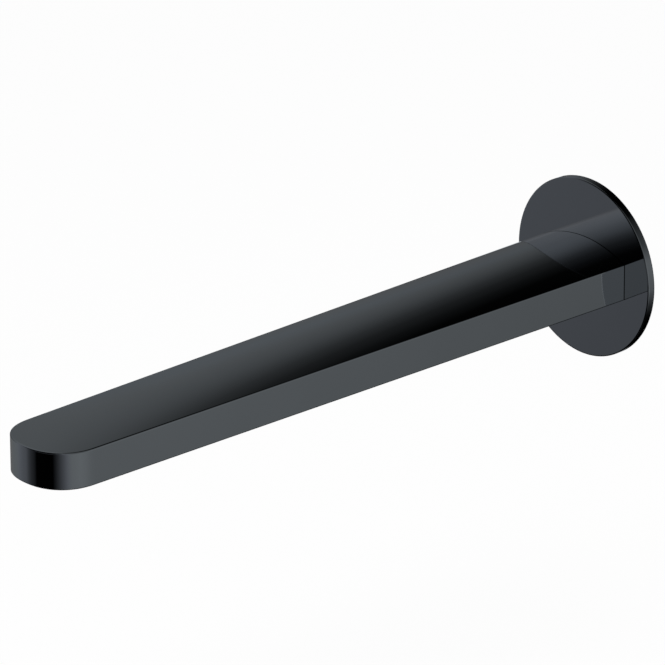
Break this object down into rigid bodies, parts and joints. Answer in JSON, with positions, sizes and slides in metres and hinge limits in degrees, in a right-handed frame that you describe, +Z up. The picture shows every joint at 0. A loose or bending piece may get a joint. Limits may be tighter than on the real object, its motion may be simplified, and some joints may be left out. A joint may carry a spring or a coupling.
{
  "type": "bath spout",
  "caption": "Slim wall-mounted bath spout: a tapering flat-sided bar with a rounded tip and a crowned top, on a thin round wall flange, with a threaded inlet.",
  "frame": {"origin": "centre of the flange's back face, which lies on the wall plane", "axes": "+Y into the wall along the inlet, so the spout reaches towards -Y; +Z up; the aerator faces -Z"},
  "size_m": [0.063, 0.266, 0.063],
  "materials": {
    "dark_polished_metal": "polished",
    "bare_brass": "satin",
    "stainless_steel": "satin",
    "black_rubber": "matte",
    "black_plastic": "satin",
    "white_plastic": "satin",
    "grey_plastic": "satin"
  },
  "bodies": {
    "root": {"spout_body": "dark_polished_metal", "wall_flange": "dark_polished_metal", "flange_screws": "stainless_steel", "flange_gasket": "black_rubber", "inlet_nipple": "bare_brass", "front_o_ring": "black_rubber", "rear_o_ring": "black_rubber", "grub_screw": "stainless_steel", "aerator_housing": "black_plastic", "aerator_washer": "black_rubber", "aerator_filter": "stainless_steel", "aerator_diffuser": "white_plastic", "aerator_upper_mesh": "stainless_steel", "aerator_spacer": "white_plastic", "aerator_lower_mesh": "stainless_steel", "aerator_grille": "grey_plastic"}
  },
  "joints": []
}
